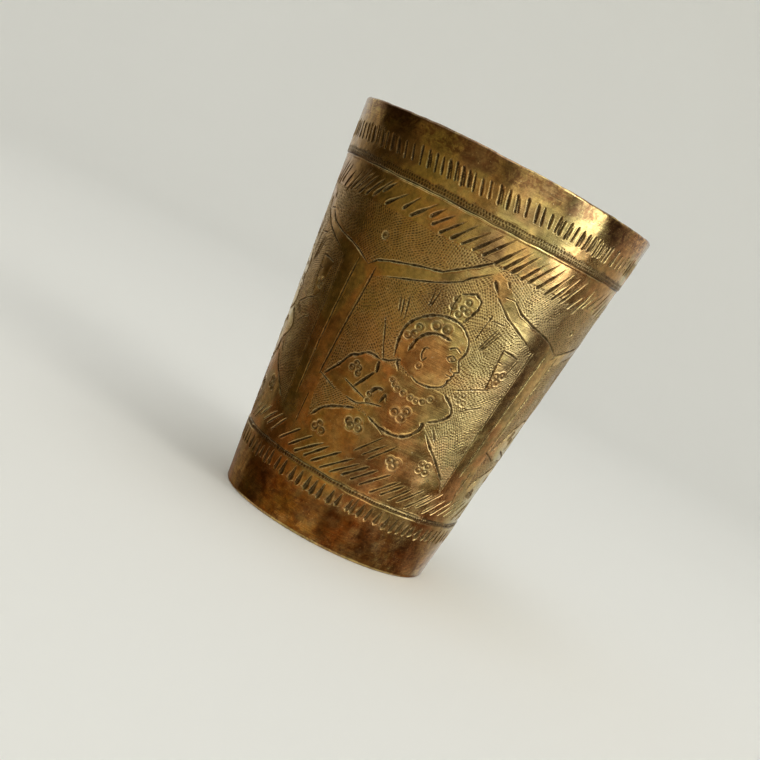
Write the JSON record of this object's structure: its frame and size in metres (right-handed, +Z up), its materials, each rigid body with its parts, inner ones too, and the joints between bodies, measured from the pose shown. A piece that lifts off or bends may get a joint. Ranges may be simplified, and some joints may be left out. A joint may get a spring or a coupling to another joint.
{
  "type": "metal drinking beaker",
  "caption": "Straight-sided tapered brass beaker with an engraved wall, swaged collar line, plain rounded lip and a let-in soldered base.",
  "frame": {"origin": "centre of the foot ring, on the surface that the beaker stands on", "axes": "+Z up along the axis of the cup, from the foot to the lip; -Y is the front, towards the engraved figure"},
  "size_m": [0.0698, 0.0698, 0.088],
  "materials": {
    "wall_brass": "aged, hand engraved, dark in the cuts",
    "seam_brass": "filed brazing metal",
    "base_brass": "dull aged sheet",
    "solder": "dull grey soft solder"
  },
  "bodies": {
    "root": {"wall": "wall_brass", "seam_braze": "seam_brass", "base_disc": "base_brass", "base_solder": "solder"}
  },
  "joints": []
}
